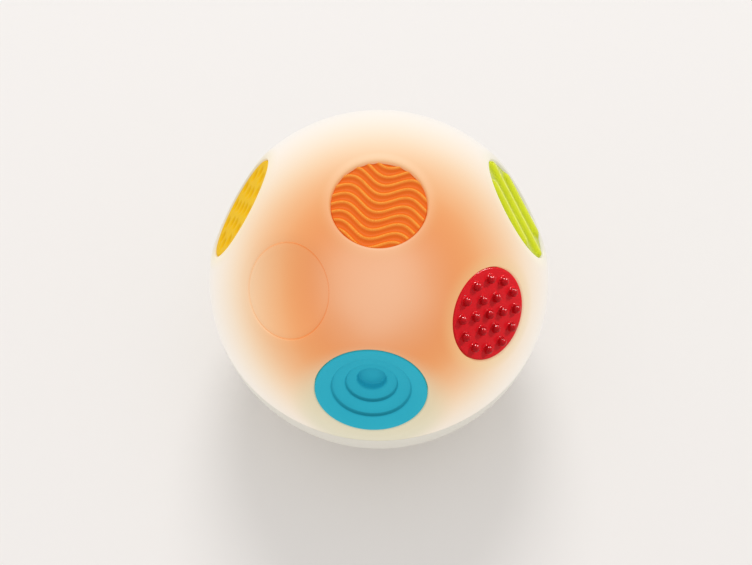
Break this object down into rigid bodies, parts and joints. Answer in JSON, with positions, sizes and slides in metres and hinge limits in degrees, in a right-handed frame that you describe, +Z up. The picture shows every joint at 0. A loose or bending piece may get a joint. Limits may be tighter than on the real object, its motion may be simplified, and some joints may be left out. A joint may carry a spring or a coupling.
{
  "type": "sensory ball",
  "caption": "Light-up baby ball of two plastic halves with textured rubber discs, a finger bowl and a press-to-light dish, standing on a flat foot with a screwed battery door.",
  "frame": {"origin": "centre of the flat foot under the ball, at the bottom of the part's box", "axes": "+Z up through the orange top disc, -Y to the front where the blue bowl sits, +X to the right seen from the front"},
  "size_m": [0.12, 0.12, 0.112],
  "materials": {
    "milky_shell": "milky translucent polypropylene, lit from inside",
    "white_shell": "white polypropylene, semi-gloss",
    "orange_rubber": "moulded soft rubber, satin",
    "red_rubber": "moulded soft rubber, glossy",
    "blue_rubber": "moulded soft rubber, matt",
    "lime_rubber": "moulded soft rubber, glossy",
    "yellow_rubber": "moulded soft rubber, satin",
    "white_abs": "moulded, satin",
    "spring_steel": "bright wire and strip",
    "zinc_steel": "zinc plated",
    "nickel_contact": "nickel plated",
    "cell_steel": "polished steel",
    "circuit_board": "solder mask on glass laminate",
    "black_plastic": "moulded, matt",
    "black_rubber": "matt",
    "clear_lens": "clear epoxy, lit",
    "diffuser_plastic": "opal, lit from inside",
    "orange_plastic": "moulded, semi-gloss"
  },
  "bodies": {
    "ball": {"upper_shell": "milky_shell", "lower_shell": "white_shell", "wave_disc": "orange_rubber", "nub_disc": "red_rubber", "step_bowl": "blue_rubber", "rib_disc": "lime_rubber", "dimple_disc": "yellow_rubber", "button_frame": "white_abs", "battery_box": "white_abs", "button_spring": "spring_steel", "button_screws": "zinc_steel", "shell_screws": "zinc_steel", "board_screws": "zinc_steel", "box_screws": "zinc_steel", "disc_retainers": "spring_steel", "cell_contacts": "nickel_contact", "button_cells": "cell_steel", "motion_can": "nickel_contact", "main_board": "circuit_board", "button_board": "circuit_board", "controller_chip": "black_plastic", "button_switch": "black_plastic", "power_switch": "black_plastic", "motion_header": "black_plastic", "door_seal": "black_rubber", "light_leds": "clear_lens", "light_diffuser": "diffuser_plastic", "button_lead": "black_rubber", "switch_lead": "black_rubber"},
    "button": {"light_button": "milky_shell"},
    "plunger": {"switch_plunger": "white_abs"},
    "door": {"battery_door": "white_shell", "door_screws": "zinc_steel", "door_contacts": "nickel_contact"},
    "slider": {"power_slider": "orange_plastic"},
    "motion_ball": {"motion_ball": "cell_steel"}
  },
  "joints": [
    {"name": "light_button_press", "type": "slide", "parent": "ball", "child": "button", "axis": [0.53, 0.4292, -0.7314], "range_m": [0, 0.002], "stiffness_N_per_m": 600, "springref_m": -0.002, "deforming": ["button_spring"]},
    {"name": "switch_plunger_press", "type": "slide", "parent": "ball", "child": "plunger", "axis": [0.53, 0.4292, -0.7314], "range_m": [0, 0.00025]},
    {"name": "battery_door_lift", "type": "slide", "parent": "ball", "child": "door", "axis": [0, 0, -1], "range_m": [0, 0.03]},
    {"name": "power_slide", "type": "slide", "parent": "ball", "child": "slider", "axis": [1, 0, 0], "range_m": [0, 0.003]},
    {"name": "motion_ball_roll", "type": "slide", "parent": "ball", "child": "motion_ball", "axis": [1, 0, 0], "range_m": [-0.002, 0.002]}
  ],
  "couplings": [
    {"joint": "switch_plunger_press", "follows": "light_button_press", "ratio": 0.125}
  ]
}
